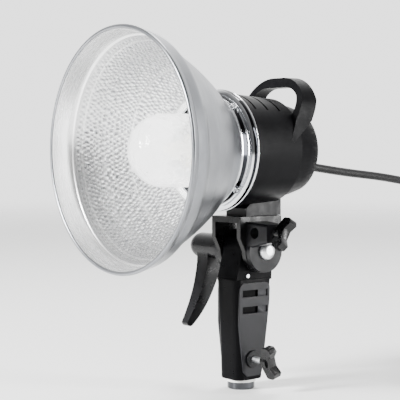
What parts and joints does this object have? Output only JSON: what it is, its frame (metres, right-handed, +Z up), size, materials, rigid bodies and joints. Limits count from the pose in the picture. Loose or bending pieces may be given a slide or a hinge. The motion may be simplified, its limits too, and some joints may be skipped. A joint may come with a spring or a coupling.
{
  "type": "monolight strobe",
  "caption": "Studio strobe head: hammered dish reflector on a bayonet collar, black barrel with carry handle, tilting yoke, lever and stand grip.",
  "frame": {"origin": "middle of the stand socket's mouth, at the bottom of the grip", "axes": "+Z up along the stand socket, -Y the way the light goes, +X the lamp's own left, where the umbrella clamp is"},
  "size_m": [0.229, 0.4532, 0.321],
  "materials": {
    "spun_aluminium": "satin spun aluminium, hammered inside",
    "polished_chrome": "polished",
    "zinc_lugs": "brushed",
    "black_shell": "fine textured black",
    "black_cap": "fine textured black",
    "blackened_screws": "blackened",
    "black_controls": "satin black",
    "black_handle": "satin black",
    "black_cast": "satin black",
    "black_yoke": "satin black",
    "heat_plate": "matt grey heat plate",
    "ceramic": "unglazed ceramic",
    "bright_ring": "bright",
    "frosted_glass": "frosted",
    "clear_glass": "clear",
    "lamp_glass": "frosted",
    "inner_steel": "zinc plated",
    "can_sleeve": "shrink sleeve",
    "board": "lacquered board",
    "black_inner": "moulded",
    "red_button": "gloss",
    "nickel": "nickel plated",
    "amber_lens": "clear lens",
    "black_grip": "satin black",
    "grey_pad": "smooth dark grey",
    "sleeve_chrome": "polished",
    "white_ring": "white nylon",
    "fibre": "fibre disc",
    "silver_axle": "bright plated",
    "black_lever": "satin black",
    "black_knob": "satin black",
    "screw_steel": "zinc plated",
    "brass_shoe": "plain",
    "cord_jacket": "satin black jacket",
    "cord_rubber": "matt black",
    "plug_plastic": "moulded black"
  },
  "bodies": {
    "grip": {"grip_left": "black_grip", "grip_right": "black_grip", "grip_screws": "blackened_screws", "side_pad_left": "grey_pad", "side_pad_right": "grey_pad", "socket_sleeve": "sleeve_chrome", "sleeve_ring": "white_ring", "clamp_bush": "black_cast", "stop_pin": "nickel", "friction_discs": "fibre", "tilt_axle": "silver_axle"},
    "lever": {"tilt_lever": "black_lever", "lever_nut": "nickel"},
    "stand_knob": {"stand_wing": "black_knob", "stand_screw": "screw_steel"},
    "clamp_shoe": {"clamp_shoe": "brass_shoe"},
    "head": {"mount_ring": "polished_chrome", "barrel_shell": "black_shell", "rear_cap": "black_cap", "rear_cap_screws": "blackened_screws", "carry_handle": "black_handle", "foot_block": "black_cast", "yoke_bracket": "black_yoke", "foot_screws": "blackened_screws", "umbrella_block": "black_cast", "ear_discs": "black_cast", "front_plate": "heat_plate", "lamp_holder": "ceramic", "dome_ring": "bright_ring", "glass_dome": "frosted_glass", "flash_tube": "clear_glass", "modelling_lamp": "lamp_glass", "chassis_plate": "inner_steel", "standoffs": "inner_steel", "capacitors": "can_sleeve", "circuit_board": "board", "trigger_coil": "can_sleeve", "fan_frame": "black_inner", "sync_socket": "nickel", "ready_lamp": "amber_lens", "cord_gland": "cord_rubber", "power_cord": "cord_jacket", "cord_coil": "cord_jacket", "cord_tail": "cord_jacket", "plug_body": "plug_plastic", "plug_pins": "nickel"},
    "umbrella_knob": {"umbrella_wing": "black_knob", "umbrella_screw": "screw_steel"},
    "umbrella_pad": {"umbrella_pad": "brass_shoe"},
    "reflector": {"reflector_bowl": "spun_aluminium", "bayonet_collar": "polished_chrome", "collar_screws": "polished_chrome", "bayonet_lugs": "zinc_lugs"},
    "bayonet_latch": {"bayonet_latch": "black_controls"},
    "fan": {"fan_rotor": "black_inner"},
    "dial": {"output_dial": "black_controls"},
    "rocker": {"power_rocker": "black_controls"},
    "test_button": {"test_button": "red_button"}
  },
  "joints": [
    {"name": "head_tilt", "type": "hinge", "parent": "grip", "child": "head", "pos_m": [0, 0.008, 0.126], "axis": [1, 0, 0], "range_deg": [-85, 45]},
    {"name": "tilt_lever_turn", "type": "hinge", "parent": "grip", "child": "lever", "pos_m": [-0.04, 0.008, 0.126], "axis": [1, 0, 0], "range_deg": [0, 50]},
    {"name": "stand_knob_turn", "type": "hinge", "parent": "grip", "child": "stand_knob", "pos_m": [0.03, 0.001, 0.028], "axis": [-1, 0, 0], "range_deg": [0, 540]},
    {"name": "clamp_shoe_press", "type": "slide", "parent": "grip", "child": "clamp_shoe", "axis": [-1, 0, 0], "range_m": [0, 0.00188]},
    {"name": "umbrella_knob_turn", "type": "hinge", "parent": "head", "child": "umbrella_knob", "pos_m": [0.05, 0.001, 0.143], "axis": [-1, 0, 0], "range_deg": [0, 540]},
    {"name": "umbrella_pad_press", "type": "slide", "parent": "head", "child": "umbrella_pad", "axis": [-1, 0, 0], "range_m": [0, 0.00188]},
    {"name": "reflector_twist", "type": "hinge", "parent": "head", "child": "reflector", "pos_m": [0, -0.03, 0.216], "axis": [0, 1, 0], "range_deg": [0, 20]},
    {"name": "bayonet_latch_slide", "type": "slide", "parent": "head", "child": "bayonet_latch", "axis": [0, 1, 0], "range_m": [0, 0.003], "stiffness_N_per_m": 300},
    {"name": "fan_spin", "type": "hinge", "parent": "head", "child": "fan", "pos_m": [0, 0.04, 0.216], "axis": [0, 1, 0], "continuous": true},
    {"name": "output_dial_turn", "type": "hinge", "parent": "head", "child": "dial", "pos_m": [-0.017, 0.066, 0.225], "axis": [0, -1, 0], "range_deg": [0, 270]},
    {"name": "power_rocker_tip", "type": "hinge", "parent": "head", "child": "rocker", "pos_m": [0.017, 0.0595, 0.225], "axis": [1, 0, 0], "range_deg": [0, 10]},
    {"name": "test_button_press", "type": "slide", "parent": "head", "child": "test_button", "axis": [0, -1, 0], "range_m": [0, 0.0015], "stiffness_N_per_m": 400}
  ],
  "couplings": [
    {"joint": "clamp_shoe_press", "follows": "stand_knob_turn", "m_per_rad": 0.000199},
    {"joint": "umbrella_pad_press", "follows": "umbrella_knob_turn", "m_per_rad": 0.000199}
  ]
}
